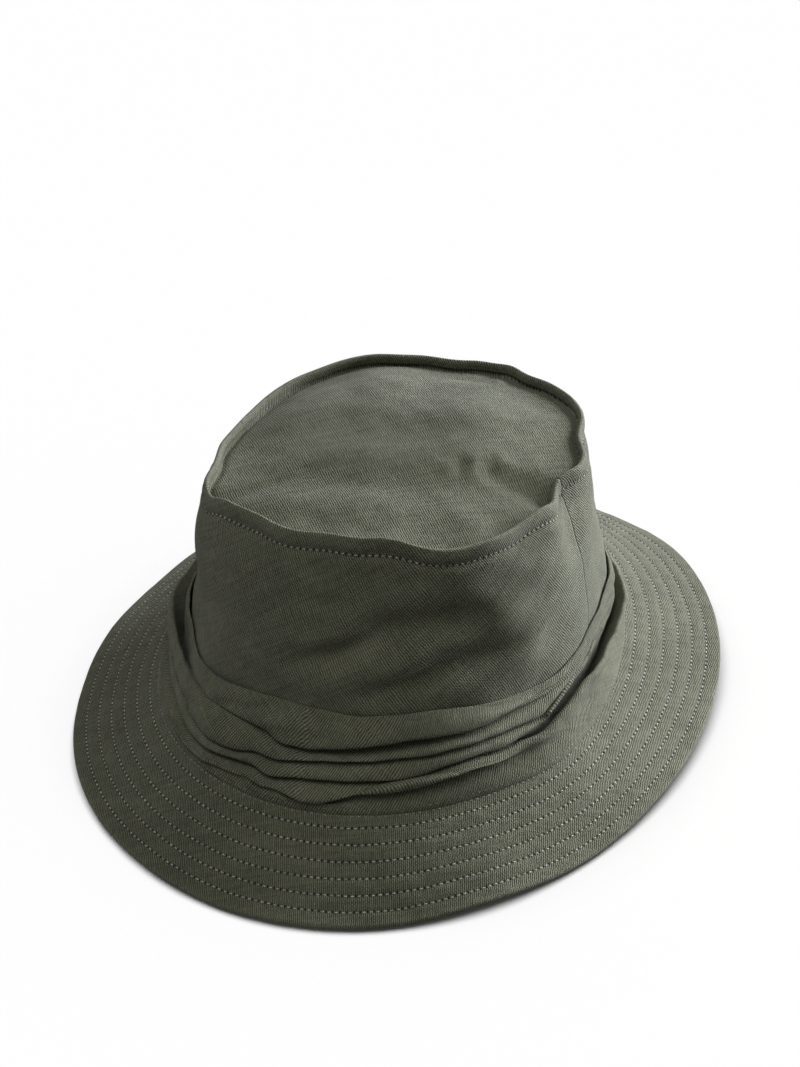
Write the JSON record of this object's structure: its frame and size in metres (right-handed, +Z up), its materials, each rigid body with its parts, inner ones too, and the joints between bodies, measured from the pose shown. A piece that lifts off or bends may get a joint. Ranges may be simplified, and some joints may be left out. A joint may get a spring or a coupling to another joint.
{
  "type": "bucket hat",
  "caption": "Soft cotton-twill bucket hat with a slouched, folded crown base, a raised rim round a recessed oval tip and a row-stitched sloping brim.",
  "frame": {"origin": "on the surface the brim rests on, under the middle of the crown", "axes": "+Z up through the crown, +Y towards the back of the head, -Y over the forehead, +X to the wearer's left"},
  "size_m": [0.232, 0.284, 0.108],
  "materials": {
    "twill": "washed dark olive-grey cotton twill",
    "lining_cloth": "plain-weave cotton lining",
    "sweatband_cloth": "close-woven cotton tape",
    "interlining_cloth": "stiff woven interlining",
    "thread": "spun polyester sewing thread"
  },
  "bodies": {
    "brim": {"brim_upper": "twill", "brim_under": "twill", "brim_interlining": "interlining_cloth", "brim_stitch_row_1": "thread", "brim_stitch_row_2": "thread", "brim_stitch_row_3": "thread", "brim_stitch_row_4": "thread", "brim_stitch_row_5": "thread", "brim_stitch_row_6": "thread", "brim_edge_stitch": "thread", "draped_band": "twill", "band_edge_stitch": "thread", "sweatband": "sweatband_cloth", "sweatband_stitch": "thread"},
    "crown": {"crown_front": "twill", "crown_back": "twill", "seam_stitch_left": "thread", "seam_stitch_right": "thread", "crown_tip": "twill", "rim_stitch": "thread", "tip_stitch": "thread", "side_lining": "lining_cloth", "tip_lining": "lining_cloth"}
  },
  "joints": [
    {"name": "crown_lift", "type": "slide", "parent": "brim", "child": "crown", "axis": [0, 0, 1], "range_m": [0, 0.024]}
  ]
}
